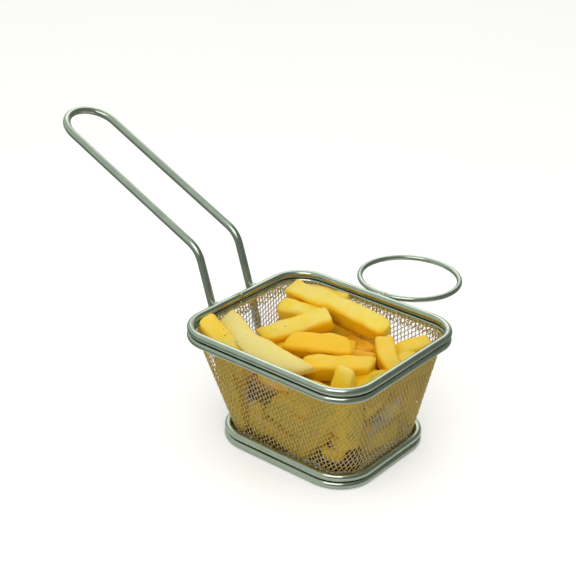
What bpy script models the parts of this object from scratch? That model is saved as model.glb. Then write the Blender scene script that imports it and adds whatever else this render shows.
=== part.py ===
"""French fries portion in a small stainless fry basket.

The basket is a woven steel tub in a welded wire frame: two stacked rim wires,
two stacked base wires, one long bent handle wire and a ring for a sauce cup.
Everything is built around the middle of the basket, with the floor at z = 0,
and carried by one empty that puts the whole object's footprint on the origin.
Units are metres. +X is the far end from the handle, +Y the sauce ring's side.
"""

import math

import bmesh
import bpy
from mathutils import Matrix, Vector

# ---------------------------------------------------------------- dimensions
CLEARANCE = 0.0003          # left between pieces that touch
WALL_GAP = 0.0004           # left between two walls that lie along each other
ARC_STEPS = 8               # facets in a rounded corner
THICK_SIDES = 10            # facets round the rim's upper wire and the handle
THIN_SIDES = 8              # facets round the other wires

RIM_HALF = Vector((0.0525, 0.0476))     # wire centre line, half length and half width
RIM_CORNER = 0.0174
RIM_Z = 0.0619
RIM_WIRE = 0.0020                       # wire radius
HEM_WIRE = 0.0018                       # radius of the second wire, below the rim

BASE_HALF = Vector((0.0418, 0.0370))
BASE_CORNER = 0.0182
BASE_WIRE = 0.0020
BASE_PITCH = 0.0043                     # height between the two base wires
BASE_SHIFT = Vector((0.0036, 0.0019))   # the base sits off the rim's centre

MESH_WALL = 0.0009
MESH_FLOOR_Z = 0.0012
MESH_FLOOR_ROUND = 0.0030               # turn between the wall and the floor

HANDLE_WIRE = 0.0020
HANDLE_HALF_WIDTH = 0.0149
HANDLE_FOOT_Z = 0.0010
HANDLE_KNEE = Vector((-0.0679, 0.0884))     # x and z of the upper bend
HANDLE_ARM = 0.1127                         # knee to the end of the loop
HANDLE_RISE = math.radians(24.1)
HANDLE_KNEE_ROUND = 0.014
HANDLE_LEG_ROUND = 0.012
HANDLE_END_ROUND = HANDLE_HALF_WIDTH * 0.998    # just short of a half circle
HANDLE_ARC_STEP = math.radians(14)
HANDLE_LEAN = math.radians(21)              # the legs' lean from upright beside the rim

RING_RADIUS = 0.0267
RING_WIRE = 0.0014
RING_X = 0.0007
RING_Z = 0.0625
RING_STEPS = 40

HEAP_FLOOR_Z = 0.0030
HEAP_TOP_Z = 0.0490
HEAP_RINGS = 4
ROOM_ABOVE_RIM = 0.030                  # how far the fries may stand above the tub
# where the heap sinks: (x, y, depth, reach)
HEAP_HOLLOWS = [
    (-0.042, 0.006, 0.019, 0.021),
    (0.036, 0.040, 0.010, 0.018),
    (0.010, 0.048, 0.004, 0.014),
]
FRY_CHAMFER = 0.0017
FRY_END_SIZE = 0.72         # of the section, at the blunt ends
FRY_STEPS = 4
# the fries that lie on top, from the middle of one end to the other:
# (name, start, end, sideways bow, width, height, roll in degrees)
TOP_FRIES = [
    ("left_corner", (-48.5, -32.5, 61.0), (-15.0, -37.5, 48.0), 0.0, 11.0, 10.0, 20),
    ("long_front", (-46.0, -16.5, 58.0), (16.0, -32.5, 56.0), -6.5, 12.0, 9.5, 32),
    ("long_back", (-41.0, 29.0, 59.5), (23.0, 24.5, 57.8), 1.0, 11.0, 10.0, 20),
    ("behind_long", (-36.0, 38.0, 55.0), (-12.0, 40.0, 56.0), 0.0, 10.0, 10.0, 0),
    ("handle_side", (-38.5, 17.0, 53.0), (-12.0, 20.0, 55.0), 0.0, 10.5, 10.0, 15),
    ("crossing", (-28.5, -11.0, 51.0), (-5.0, 16.0, 60.0), -1.5, 11.0, 9.5, 30),
    ("under_crossing", (-32.0, -6.0, 44.0), (0.0, -14.0, 50.0), 0.0, 10.0, 9.0, 15),
    ("middle", (-6.0, -18.0, 56.0), (22.0, -3.0, 56.5), 0.0, 11.0, 10.0, 35),
    ("front", (11.0, -27.0, 55.0), (37.0, -6.0, 55.0), 0.0, 10.0, 10.0, 20),
    ("low_front", (10.0, -33.0, 46.0), (36.0, -34.0, 49.0), 0.0, 10.0, 10.0, 20),
    ("low_end", (32.0, -20.0, 48.0), (45.0, -2.0, 50.0), 0.0, 10.0, 10.0, 20),
    ("standing", (35.5, -27.0, 64.0), (38.0, -30.0, 30.0), 0.0, 9.0, 8.0, 0),
    ("far_end", (26.5, 16.5, 57.0), (46.0, 1.0, 50.5), 0.0, 10.0, 10.0, 10),
    ("right_corner", (43.5, 36.0, 54.5), (31.0, 17.0, 48.0), 0.0, 10.0, 10.0, -10),
    ("sunk_back", (2.0, 22.0, 49.0), (22.0, 12.0, 51.0), 0.0, 10.0, 10.0, 10),
    ("sunk_middle", (-8.0, 5.0, 50.0), (14.0, 12.0, 52.0), 0.0, 10.0, 10.0, 10),
]
MILLIMETRE = 0.001

# ------------------------------------------------------------ derived values
HEM_HALF = RIM_HALF + Vector((1, 1)) * (RIM_WIRE - HEM_WIRE)
HEM_CORNER = RIM_CORNER + RIM_WIRE - HEM_WIRE
HEM_Z = RIM_Z - RIM_WIRE - CLEARANCE - HEM_WIRE
MESH_TOP_Z = RIM_Z - RIM_WIRE - CLEARANCE
TOP_INSET = 2 * HEM_WIRE + CLEARANCE - RIM_WIRE      # rim centre line to the mesh's outside
BASE_INSET = BASE_WIRE + WALL_GAP                    # base centre line to the mesh's outside
HEAP_INSET = MESH_WALL + WALL_GAP                    # mesh's outside to the fries
BASE_Z = (BASE_WIRE, BASE_WIRE + BASE_PITCH)
RING_Y = RIM_HALF.y + RIM_WIRE + CLEARANCE + RING_WIRE + RING_RADIUS
HANDLE_END_X = HANDLE_KNEE.x - HANDLE_ARM * math.cos(HANDLE_RISE) - HANDLE_WIRE
FRONT_X = RIM_HALF.x + RIM_WIRE
NEAR_Y = -RIM_HALF.y - RIM_WIRE
FAR_Y = RING_Y + RING_RADIUS + RING_WIRE
BASKET_PLACE = Vector((-(FRONT_X + HANDLE_END_X) / 2, -(NEAR_Y + FAR_Y) / 2, 0))


# ------------------------------------------------------------------- helpers
def clear_scene():
    """Removes whatever the file starts with."""
    for thing in list(bpy.data.objects):
        bpy.data.objects.remove(thing)


def material(name, colour, roughness, metallic):
    """A plain Principled material."""
    mat = bpy.data.materials.new(name)
    mat.use_nodes = True
    shader = mat.node_tree.nodes["Principled BSDF"]
    shader.inputs["Base Color"].default_value = (*colour, 1)
    shader.inputs["Roughness"].default_value = roughness
    shader.inputs["Metallic"].default_value = metallic
    mat.diffuse_color = (*colour, 1)
    return mat


def new_object(name, bm, mat, carrier, smooth_below=math.radians(50)):
    """Makes a mesh object from bm, shaded smooth across shallow edges."""
    bmesh.ops.recalc_face_normals(bm, faces=bm.faces)
    mesh = bpy.data.meshes.new(name)
    bm.to_mesh(mesh)
    bm.free()
    mesh.materials.append(mat)
    mesh.shade_smooth()
    mesh.set_sharp_from_angle(angle=smooth_below)
    thing = bpy.data.objects.new(name, mesh)
    bpy.context.scene.collection.objects.link(thing)
    thing.parent = carrier
    return thing


def rounded_rectangle(half, corner, z, shift=Vector((0, 0))):
    """Points anticlockwise round a rectangle with round corners."""
    points = []
    for quarter in range(4):
        side_x = (1, -1, -1, 1)[quarter]
        side_y = (1, 1, -1, -1)[quarter]
        middle_x = shift.x + side_x * (half.x - corner)
        middle_y = shift.y + side_y * (half.y - corner)
        for step in range(ARC_STEPS + 1):
            angle = math.radians(90 * (quarter + step / ARC_STEPS))
            x = middle_x + corner * math.cos(angle)
            y = middle_y + corner * math.sin(angle)
            points.append(Vector((x, y, z)))
    return points


def rounded_path(corners, radii, arc_step):
    """An open path through corners, each turned with its own radius."""
    points = [corners[0]]
    for index in range(1, len(corners) - 1):
        corner = corners[index]
        towards = (corners[index - 1] - corner).normalized()
        onwards = (corners[index + 1] - corner).normalized()
        turn = math.pi - towards.angle(onwards)
        trim = radii[index] * math.tan(turn / 2)
        centre = corner + (towards + onwards).normalized() * (radii[index] / math.cos(turn / 2))
        spoke = corner + towards * trim - centre
        axis = spoke.cross(corner + onwards * trim - centre).normalized()
        steps = max(1, round(turn / arc_step))
        for step in range(steps + 1):
            points.append(centre + Matrix.Rotation(turn * step / steps, 3, axis) @ spoke)
    points.append(corners[-1])
    return points


def wire(path, radius, sides, closed, first_normal):
    """A round wire of the given radius along a path, with flat cut ends.

    A facet, not an edge, faces first_normal, so a wire can lie flat.
    """
    bm = bmesh.new()
    count = len(path)
    normal = first_normal.normalized()
    tangent = None
    rings = []
    for index, point in enumerate(path):
        before = path[index - 1] if closed or index else point
        after = path[(index + 1) % count] if closed or index < count - 1 else point
        new_tangent = (after - before).normalized()
        if tangent is not None:
            normal = tangent.rotation_difference(new_tangent) @ normal
        tangent = new_tangent
        normal = (normal - tangent * normal.dot(tangent)).normalized()
        binormal = tangent.cross(normal)
        ring = []
        for side in range(sides):
            angle = 2 * math.pi * (side + 0.5) / sides
            spoke = normal * math.cos(angle) + binormal * math.sin(angle)
            ring.append(bm.verts.new(point + spoke * radius))
        rings.append(ring)
    pairs = list(zip(rings, rings[1:]))
    if closed:
        pairs.append((rings[-1], rings[0]))
    else:
        bm.faces.new(rings[0])
        bm.faces.new(rings[-1])
    for ring, following in pairs:
        for side in range(sides):
            nearby = (side + 1) % sides
            bm.faces.new((ring[side], ring[nearby], following[nearby], following[side]))
    return bm


def skin(bm, rings):
    """Faces between successive rings of vertices."""
    for ring, following in zip(rings, rings[1:]):
        for index in range(len(ring)):
            nearby = (index + 1) % len(ring)
            bm.faces.new((ring[index], ring[nearby], following[nearby], following[index]))


def tub_section(z, inset):
    """The tub's rounded rectangle at height z, inset from the mesh's outside."""
    low = BASE_Z[1] + BASE_WIRE / 2
    share = min(max((z - low) / (MESH_TOP_Z - low), 0), 1)
    base_half = BASE_HALF - Vector((1, 1)) * BASE_INSET
    rim_half = RIM_HALF - Vector((1, 1)) * TOP_INSET
    half = base_half.lerp(rim_half, share) - Vector((1, 1)) * inset
    corner = (1 - share) * (BASE_CORNER - BASE_INSET) + share * (RIM_CORNER - TOP_INSET) - inset
    shift = BASE_SHIFT * (1 - share)
    return half, corner, shift


def tub_rings(bm, inset, floor_z):
    """Rings of vertices down the tub's wall and round into its floor."""
    heights = [MESH_TOP_Z, BASE_Z[1] + BASE_WIRE / 2, floor_z + MESH_FLOOR_ROUND]
    rings = []
    for z in heights:
        half, corner, shift = tub_section(z, inset)
        rings.append([bm.verts.new(point) for point in rounded_rectangle(half, corner, z, shift)])
    for step in (1, 2, 3):
        angle = math.radians(30 * step)
        z = floor_z + MESH_FLOOR_ROUND * (1 - math.sin(angle))
        half, corner, shift = tub_section(z, inset + MESH_FLOOR_ROUND * (1 - math.cos(angle)))
        rings.append([bm.verts.new(point) for point in rounded_rectangle(half, corner, z, shift)])
    return rings


# --------------------------------------------------------------- steel parts
def closed_wire(name, half, corner, z, radius, sides, mat, carrier, shift=Vector((0, 0))):
    """A wire frame: a rounded rectangle lying flat."""
    path = rounded_rectangle(half, corner, z, shift)
    bm = wire(path, radius, sides, True, Vector((0, 0, -1)))
    return new_object(name, bm, mat, carrier)


def make_frame_wires(steel, carrier):
    """The two wires of the rim and the two of the base."""
    closed_wire("rim_upper_wire", RIM_HALF, RIM_CORNER, RIM_Z, RIM_WIRE, THICK_SIDES, steel, carrier)
    closed_wire("rim_lower_wire", HEM_HALF, HEM_CORNER, HEM_Z, HEM_WIRE, THIN_SIDES, steel, carrier)
    flat = BASE_WIRE * math.cos(math.pi / THIN_SIDES)        # centre to facet
    for name, z in zip(("base_lower_wire", "base_upper_wire"), BASE_Z):
        height = z - BASE_WIRE + flat
        closed_wire(name, BASE_HALF, BASE_CORNER, height, BASE_WIRE, THIN_SIDES, steel, carrier,
                    BASE_SHIFT)


def make_handle(steel, carrier):
    """One wire: up from the base, past the rim, back along the arm and round."""
    foot_x = BASE_SHIFT.x - BASE_HALF.x - BASE_WIRE - CLEARANCE - HANDLE_WIRE
    hem_x = -HEM_HALF.x - (HEM_WIRE + CLEARANCE + HANDLE_WIRE) / math.cos(HANDLE_LEAN)
    arm = Vector((-math.cos(HANDLE_RISE), math.sin(HANDLE_RISE)))
    end = HANDLE_KNEE + arm * HANDLE_ARM
    side_view = [
        (foot_x, HANDLE_FOOT_Z, 0),
        (foot_x, BASE_Z[1] + BASE_WIRE, HANDLE_LEG_ROUND),
        (hem_x, HEM_Z, HANDLE_LEG_ROUND),
        (HANDLE_KNEE.x, HANDLE_KNEE.y, HANDLE_KNEE_ROUND),
        (end.x, end.y, HANDLE_END_ROUND),
    ]
    corners = [Vector((x, HANDLE_HALF_WIDTH, z)) for x, z, radius in side_view]
    radii = [radius for x, z, radius in side_view]
    corners += [Vector((corner.x, -corner.y, corner.z)) for corner in reversed(corners)]
    radii += list(reversed(radii))
    path = rounded_path(corners, radii, HANDLE_ARC_STEP)
    bm = wire(path, HANDLE_WIRE, THICK_SIDES, False, Vector((-1, 0, 0)))
    return new_object("handle_wire", bm, steel, carrier)


def make_sauce_ring(steel, carrier):
    """A ring of thinner wire, welded to the rim where they touch."""
    path = []
    for index in range(RING_STEPS):
        angle = 2 * math.pi * index / RING_STEPS
        x = RING_X + RING_RADIUS * math.cos(angle)
        y = RING_Y + RING_RADIUS * math.sin(angle)
        path.append(Vector((x, y, RING_Z)))
    bm = wire(path, RING_WIRE, THIN_SIDES, True, Vector((0, 0, -1)))
    return new_object("sauce_ring", bm, steel, carrier)


def make_tub(mat, carrier):
    """The woven tub as a thin wall and floor, open at the top."""
    bm = bmesh.new()
    outer = tub_rings(bm, 0, MESH_FLOOR_Z)
    inner = tub_rings(bm, MESH_WALL, MESH_FLOOR_Z + MESH_WALL)
    skin(bm, outer)
    skin(bm, inner)
    skin(bm, [outer[0], inner[0]])
    bm.faces.new(outer[-1])
    bm.faces.new(inner[-1])
    return new_object("woven_tub", bm, mat, carrier)


# --------------------------------------------------------------------- fries
def heap_height(x, y):
    """Height of the packed fries below the loose top layer."""
    height = HEAP_TOP_Z
    for hollow_x, hollow_y, depth, reach in HEAP_HOLLOWS:
        away = math.hypot(x - hollow_x, y - hollow_y) / reach
        height -= depth * math.exp(-away * away)
    return height


def make_packed_fries(mat, carrier):
    """The packed body of the heap, which fills the tub from wall to wall."""
    bm = bmesh.new()
    rings = tub_rings(bm, HEAP_INSET, HEAP_FLOOR_Z)
    for vert in rings[0]:
        wall_x, wall_y = vert.co.x, vert.co.y
        z = heap_height(wall_x, wall_y)
        half, corner, shift = tub_section(z, HEAP_INSET)
        wide = (wall_x * half.x / RIM_HALF.x, wall_y * half.y / RIM_HALF.y)
        vert.co = Vector((wide[0] + shift.x, wide[1] + shift.y, z))
    top = [rings[0]]
    middle = sum((vert.co for vert in rings[0]), Vector()) / len(rings[0])
    for step in range(1, HEAP_RINGS):
        inwards = step / HEAP_RINGS
        ring = []
        for vert in rings[0]:
            spot = vert.co.lerp(middle, inwards)
            spot.z = heap_height(spot.x, spot.y)
            ring.append(bm.verts.new(spot))
        top.append(ring)
    skin(bm, top)
    skin(bm, rings)
    bm.faces.new(rings[-1])
    peak = bm.verts.new(Vector((middle.x, middle.y, heap_height(middle.x, middle.y))))
    for index in range(len(top[-1])):
        bm.faces.new((top[-1][index], top[-1][(index + 1) % len(top[-1])], peak))
    return new_object("fries_heap", bm, mat, carrier)


def fry_outline(width, height):
    """A fry's section: a rectangle with its four edges cut off."""
    across = width / 2
    up = height / 2
    cut = FRY_CHAMFER
    return [
        (across, cut - up), (across, up - cut), (across - cut, up), (cut - across, up),
        (-across, up - cut), (-across, cut - up), (cut - across, -up), (across - cut, -up),
    ]


def make_fry(name, start, end, bow, width, height, roll, mat, carrier):
    """One fry as a bowed bar with blunt, slightly narrower ends."""
    start = Vector(start) * MILLIMETRE
    end = Vector(end) * MILLIMETRE
    along = (end - start).normalized()
    upright = Vector((0, 0, 1)) if abs(along.z) < 0.8 else Vector((0, 1, 0))
    side = upright.cross(along).normalized()
    top = along.cross(side)
    turn = Matrix.Rotation(math.radians(roll), 3, along)
    bow_way = side * bow * MILLIMETRE
    side = turn @ side
    top = turn @ top
    bm = bmesh.new()
    rings = []
    outline = fry_outline(width * MILLIMETRE, height * MILLIMETRE)
    length = (end - start).length
    cap = FRY_CHAMFER / length
    stations = [0, cap] + [step / FRY_STEPS for step in range(1, FRY_STEPS)] + [1 - cap, 1]
    for share in stations:
        spot = start.lerp(end, share) + bow_way * 4 * share * (1 - share)
        size = FRY_END_SIZE if share in (0, 1) else 1.0
        rings.append([bm.verts.new(spot + (side * u + top * v) * size) for u, v in outline])
    skin(bm, rings)
    bm.faces.new(rings[0])
    bm.faces.new(rings[-1])
    fry = new_object("fry_" + name, bm, mat, carrier)
    fry.hide_render = True
    fry.display_type = "WIRE"
    return fry


def make_room(mat, carrier):
    """The space inside the tub, carried on straight up above the rim."""
    bm = bmesh.new()
    rings = tub_rings(bm, HEAP_INSET, HEAP_FLOOR_Z)
    above = [bm.verts.new(vert.co + Vector((0, 0, ROOM_ABOVE_RIM))) for vert in rings[0]]
    skin(bm, [above] + rings)
    bm.faces.new(above)
    bm.faces.new(rings[-1])
    room = new_object("tub_room", bm, mat, carrier)
    room.hide_render = True
    room.display_type = "WIRE"
    return room


def make_fries(mat, carrier):
    """The heap: packed body and top fries as one solid, trimmed to the tub."""
    heap = make_packed_fries(mat, carrier)
    loose = bpy.data.collections.new("top_fries")
    bpy.context.scene.collection.children.link(loose)
    for row in TOP_FRIES:
        fry = make_fry(*row, mat, carrier)
        bpy.context.scene.collection.objects.unlink(fry)
        loose.objects.link(fry)
    join = heap.modifiers.new("join_top_fries", "BOOLEAN")
    join.operation = "UNION"
    join.operand_type = "COLLECTION"
    join.collection = loose
    join.solver = "EXACT"
    trim = heap.modifiers.new("trim_to_tub", "BOOLEAN")
    trim.operation = "INTERSECT"
    trim.object = make_room(mat, carrier)
    trim.solver = "EXACT"
    return heap


def main():
    clear_scene()
    carrier = bpy.data.objects.new("basket_middle", None)
    carrier.location = BASKET_PLACE
    bpy.context.scene.collection.objects.link(carrier)
    steel = material("stainless_wire", (0.52, 0.56, 0.53), 0.25, 1.0)
    weave = material("woven_steel", (0.45, 0.44, 0.36), 0.45, 1.0)
    potato = material("fried_potato", (0.83, 0.62, 0.14), 0.55, 0.0)
    make_frame_wires(steel, carrier)
    make_handle(steel, carrier)
    make_sauce_ring(steel, carrier)
    make_tub(weave, carrier)
    make_fries(potato, carrier)


main()
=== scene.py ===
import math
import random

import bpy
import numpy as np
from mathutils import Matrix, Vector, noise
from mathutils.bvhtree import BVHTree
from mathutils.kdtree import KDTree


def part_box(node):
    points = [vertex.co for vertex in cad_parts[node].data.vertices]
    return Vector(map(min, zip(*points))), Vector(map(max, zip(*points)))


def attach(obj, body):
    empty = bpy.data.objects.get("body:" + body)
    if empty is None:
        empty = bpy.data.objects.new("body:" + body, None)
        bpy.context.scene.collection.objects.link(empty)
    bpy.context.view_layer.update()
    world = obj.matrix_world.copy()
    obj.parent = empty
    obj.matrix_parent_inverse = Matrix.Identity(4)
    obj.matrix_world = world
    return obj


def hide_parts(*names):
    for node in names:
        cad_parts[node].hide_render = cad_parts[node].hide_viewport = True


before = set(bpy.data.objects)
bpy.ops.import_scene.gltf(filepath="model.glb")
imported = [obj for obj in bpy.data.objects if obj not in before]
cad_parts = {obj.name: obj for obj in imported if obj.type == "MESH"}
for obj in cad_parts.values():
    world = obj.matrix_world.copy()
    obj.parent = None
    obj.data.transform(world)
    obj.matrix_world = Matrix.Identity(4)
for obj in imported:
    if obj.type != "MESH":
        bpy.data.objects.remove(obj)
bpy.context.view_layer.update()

# A portion of french fries in a small stainless fry basket.
#
# The basket is built the way it is made: two rim wires and two base wires,
# butt welded into loops, a handle bent from one wire, a ring for a sauce cup
# welded to the rim, and a tub of plain woven wire cloth whose top edge is
# folded inwards. The fries are single meshes laid over a small core.
# Lengths are metres, written as so many MM. Shapes are made around the middle
# of the basket, and every piece is then placed there.

MM = 0.001
EIGHT_SIDED = math.cos(math.pi / 8)     # how far the flats of the thin CAD wires reach

# ------------------------------------------------------------------ the frame
RIM_WIRE = 2.0 * MM                     # wire radii
HEM_WIRE = 1.8 * MM
BASE_WIRE = 2.0 * MM
HANDLE_WIRE = 2.0 * MM
RING_WIRE = 1.4 * MM
RIM_CORNER = 17.4 * MM
BASE_CORNER = 18.2 * MM
WELD_GAP = 0.3 * MM                     # between wires that lie side by side


def middle_and_half(node, reach):
    """A flat wire frame's middle and its centre line's half length and width."""
    low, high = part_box(node)
    half = (high - low) / 2
    return (low + high) / 2, Vector((half.x - reach, half.y - reach))


rim_middle, RIM_HALF = middle_and_half("rim_upper_wire", RIM_WIRE)
hem_middle, HEM_HALF = middle_and_half("rim_lower_wire", HEM_WIRE * EIGHT_SIDED)
base_middle, BASE_HALF = middle_and_half("base_upper_wire", BASE_WIRE * EIGHT_SIDED)
ring_middle, RING_HALF = middle_and_half("sauce_ring", RING_WIRE * EIGHT_SIDED)
BASKET = Vector((rim_middle.x, rim_middle.y, 0))
BASE_SHIFT = Vector((base_middle.x - BASKET.x, base_middle.y - BASKET.y))
RIM_Z = rim_middle.z
HEM_Z = hem_middle.z
BASE_Z = (BASE_WIRE, BASE_WIRE + base_middle.z - (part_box("base_lower_wire")[1].z / 2))
RING_MIDDLE = ring_middle - BASKET

# --------------------------------------------------------------------- handle
HANDLE_HALF_WIDTH = 14.9 * MM
HANDLE_FOOT_Z = 1.0 * MM
HANDLE_KNEE = Vector((-67.9, 88.4)) * MM        # x and z of the upper bend
HANDLE_ARM = 112.7 * MM
HANDLE_RISE = math.radians(24.1)
HANDLE_LEAN = math.radians(21)
HANDLE_KNEE_ROUND = 14 * MM
HANDLE_LEG_ROUND = 12 * MM

# ----------------------------------------------------------------- wire cloth
CLOTH_PITCH = 2.18 * MM
RISING_CLIMB = 40                       # the two sets' angles on the near wall, in degrees
FALLING_CLIMB = -78
CLOTH_WIRE = 0.25 * MM                  # radius
CLOTH_WAVE = 0.22 * MM                  # how far a wire weaves to each side
CLOTH_HALF = CLOTH_WIRE + CLOTH_WAVE
NUDGE = 0.05 * MM
CLOTH_STEP = 0.66 * MM                  # between the rings of vertices along a wire
FLOOR_ROUND = 2.55 * MM                 # the cloth's turn from wall to floor
FOLD_ROUND = 0.5 * MM                   # the turn of the folded top edge
TINT_REACH = 8 * MM                      # how far from a fry the golden tint fades out: oil film and painted reflection
FOLD_DEPTH = 4.6 * MM                   # how far the folded edge comes down inside
SEAM_ASIDE = 19 * MM                    # the seam's place on the handle's wall
LAP = 4 * MM                            # how far the cloth overlaps at its seam
tub_low, tub_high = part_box("woven_tub")
TUB_TOP = (tub_high - tub_low) / 2
TUB_TOP_Z = tub_high.z
TUB_FLOOR_Z = tub_low.z
TUB_LOW_Z = BASE_Z[1] + BASE_WIRE / 2   # the wall leans outwards from here
TUB_BASE = Vector((BASE_HALF.x, BASE_HALF.y)) - Vector((1, 1)) * (BASE_WIRE + 0.4 * MM)
TOP_CORNER = RIM_CORNER - (RIM_HALF.x - TUB_TOP.x)
LOW_CORNER = BASE_CORNER - (BASE_HALF.x - TUB_BASE.x)

# ---------------------------------------------------------------------- fries
# the fries that lie on top, in mm from the middle of one end to the other:
# (start, end, sideways bow, width, height, roll in degrees)
TOP_FRIES = {
    "left_corner": ((-48.5, -32.5, 61.0), (-15.0, -37.5, 48.0), 0.0, 11.0, 10.0, 20),
    "long_front": ((-46.0, -16.5, 58.0), (16.0, -32.5, 56.0), -6.5, 12.0, 9.5, 32),
    "long_back": ((-41.0, 29.0, 59.5), (23.0, 24.5, 57.8), 1.0, 11.0, 10.0, 20),
    "behind_long": ((-36.0, 38.0, 55.0), (-12.0, 40.0, 56.0), 0.0, 10.0, 10.0, 0),
    "handle_side": ((-38.5, 17.0, 53.0), (-12.0, 20.0, 55.0), 0.0, 10.5, 10.0, 15),
    "crossing": ((-28.5, -11.0, 51.0), (-5.0, 16.0, 60.0), -1.5, 11.0, 9.5, 30),
    "under_crossing": ((-32.0, -6.0, 44.0), (0.0, -14.0, 50.0), 0.0, 10.0, 9.0, 15),
    "middle": ((-7.0, -16.0, 58.0), (20.0, -2.5, 58.0), 0.0, 11.0, 10.0, 35),
    "front": ((11.0, -27.0, 55.0), (37.0, -6.0, 55.0), 0.0, 10.0, 10.0, 20),
    "low_front": ((10.0, -33.0, 46.0), (36.0, -34.0, 49.0), 0.0, 10.0, 10.0, 20),
    "low_end": ((32.0, -20.0, 48.0), (45.0, -2.0, 50.0), 0.0, 10.0, 10.0, 20),
    "standing": ((35.0, -27.0, 64.0), (38.0, -30.0, 30.0), 0.0, 12.0, 9.0, 0),
    "far_end": ((26.5, 16.5, 57.0), (46.0, 1.0, 50.5), 0.0, 10.0, 10.0, 10),
    "right_corner": ((43.5, 36.0, 54.5), (31.0, 17.0, 48.0), 0.0, 10.0, 10.0, -10),
    "sunk_back": ((2.0, 22.0, 46.0), (22.0, 12.0, 48.0), 0.0, 10.0, 10.0, 10),
    "sunk_end": ((8.0, 2.0, 47.0), (30.0, 6.0, 49.0), 0.0, 10.0, 10.0, 25),
    "sunk_middle": ((-8.0, 5.0, 47.0), (14.0, 12.0, 49.0), 0.0, 10.0, 10.0, 10),
}
# fries that lean on the walls, in mm: (place along the wall and height of the
# two ends, width, further in from the wall). On the near and far walls the
# place is x, on the two end walls it is y.
NEAR_WALL_FRIES = [
    (-27, 53, -26, 8, 11, 0),
    (-3, 33, 17, 26, 12.5, 0),
    (42, 52, 12, 12, 12.5, 0),
    (-2, 14, 19, 10, 10, 1),
    (-16, 26, -13, 8, 10, 3),
    (-12, 45, 12, 49, 10, 6),
    (-22, 15, 2, 12, 10, 4),
    (4, 45, 22, 40, 10, 8),
    (35, 25, 49, 28, 9, 2),
]
END_WALL_FRIES = [
    (-33, 52, -27, 30, 10.5, 0),
    (-20, 47, -2, 50, 10.5, 0),
    (-12, 34, 8, 38, 11, 7),
    (4, 53, 30, 47, 11, 0),
    (14, 40, 27, 14, 10.5, 0),
    (-13, 18, 12, 15, 10, 0),
    (36, 52, 33, 24, 9, 0),
    (4, 28, 20, 26, 10, 3),
    (-26, 12, 6, 14, 10, 9),
]
FAR_WALL_FRIES = [
    (-34, 50, -24, 10, 11, 0),
    (-18, 12, 12, 20, 10.5, 0),
    (-14, 36, 20, 30, 11, 0),
    (31, 42, 22, 8, 10, 0),
    (-8, 44, 24, 41, 10, 4),
    (2, 26, -22, 24, 10, 5),
    (6, 9, 36, 16, 10, 3),
]
HANDLE_WALL_FRIES = [
    (28, 50, 20, 10, 10.5, 0),
    (-24, 47, -29, 12, 11, 0),
    (-18, 12, 14, 15, 10, 0),
    (12, 31, -20, 26, 11, 0),
    (-6, 34, 16, 36, 10, 5),
    (-30, 40, -10, 38, 10, 5),
]
# a layer under the top, in mm: (start, end, width)
UNDER_FRIES = [
    ((-14, -22, 48), (10, -22, 47), 10),
    ((20, -14, 48), (40, -18, 45), 10),
    ((-30, 28, 45), (6, 30, 46), 10),
    ((-34, 14, 44), (-8, 6, 42), 10),
    ((-20, -20, 42), (12, -24, 44), 11),
    ((14, -16, 44), (38, 4, 43), 10),
    ((-4, -8, 43), (24, 4, 44), 11),
    ((10, 26, 43), (38, 22, 44), 10),
    ((-26, -4, 36), (4, 6, 37), 10),
    ((2, -34, 37), (34, -30, 38), 10),
]
FRY_SEED = 11
UNEVEN_SEED = 15                        # for the unevenness of the wires and the fries
TAPER_LENGTH = 14 * MM                  # how far from its end a fry starts to thin
OPEN_RAYS = 14                          # how the open places of the heap are looked for
OPEN_START = 0.4 * MM
OPEN_REACH = 16 * MM
SIDE_SHARE = 0.62                       # how much of the painted light a side gets beside a top
FRY_EDGE = 2.1 * MM                     # how round the long edges are
WALL_CLEARANCE = 0.35 * MM
CORE_INSET = 10 * MM
CORE_LOW_INSET = 5.5 * MM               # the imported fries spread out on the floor
CORE_TOP_Z = 40 * MM
CORE_FLOOR_Z = 4.5 * MM

# --------------------------------------------------------------------- camera
CAMERA_AZIMUTH = math.radians(37.8)
CAMERA_ELEVATION = math.radians(25.6)
CAMERA_ROLL = math.radians(2.1)
CAMERA_DISTANCE = 0.6812
CAMERA_ASIDE = Vector((-0.0138, 0.0755))    # how far it stands right of and above the basket's line
CAMERA_LENS = 82.7


# ------------------------------------------------------------- shader helpers
def new_material(name):
    """A material with a Principled shader, its nodes and its links."""
    mat = bpy.data.materials.new(name)
    mat.use_nodes = True
    tree = mat.node_tree
    return mat, tree, tree.nodes["Principled BSDF"]


def node(tree, kind, **values):
    """A new node with the given properties and, where a socket has the name, inputs."""
    made = tree.nodes.new(kind)
    for name, value in values.items():
        socket = made.inputs.get(name.replace("_", " ").title())
        if socket is not None:
            socket.default_value = value
        else:
            setattr(made, name, value)
    return made


def ramp(tree, source, stops):
    """A colour ramp over source; stops are (place, colour)."""
    made = tree.nodes.new("ShaderNodeValToRGB")
    elements = made.color_ramp.elements
    while len(elements) < len(stops):
        elements.new(0.5)
    for element, (place, colour) in zip(elements, stops):
        element.position = place
        element.color = (*colour, 1)
    tree.links.new(source, made.inputs["Fac"])
    return made.outputs["Color"]


def value_range(tree, source, low, high, to_low, to_high):
    """Maps source from low..high to to_low..to_high, clamped."""
    made = tree.nodes.new("ShaderNodeMapRange")
    for name, value in (("From Min", low), ("From Max", high), ("To Min", to_low), ("To Max", to_high)):
        made.inputs[name].default_value = value
    tree.links.new(source, made.inputs["Value"])
    return made.outputs["Result"]


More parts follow.
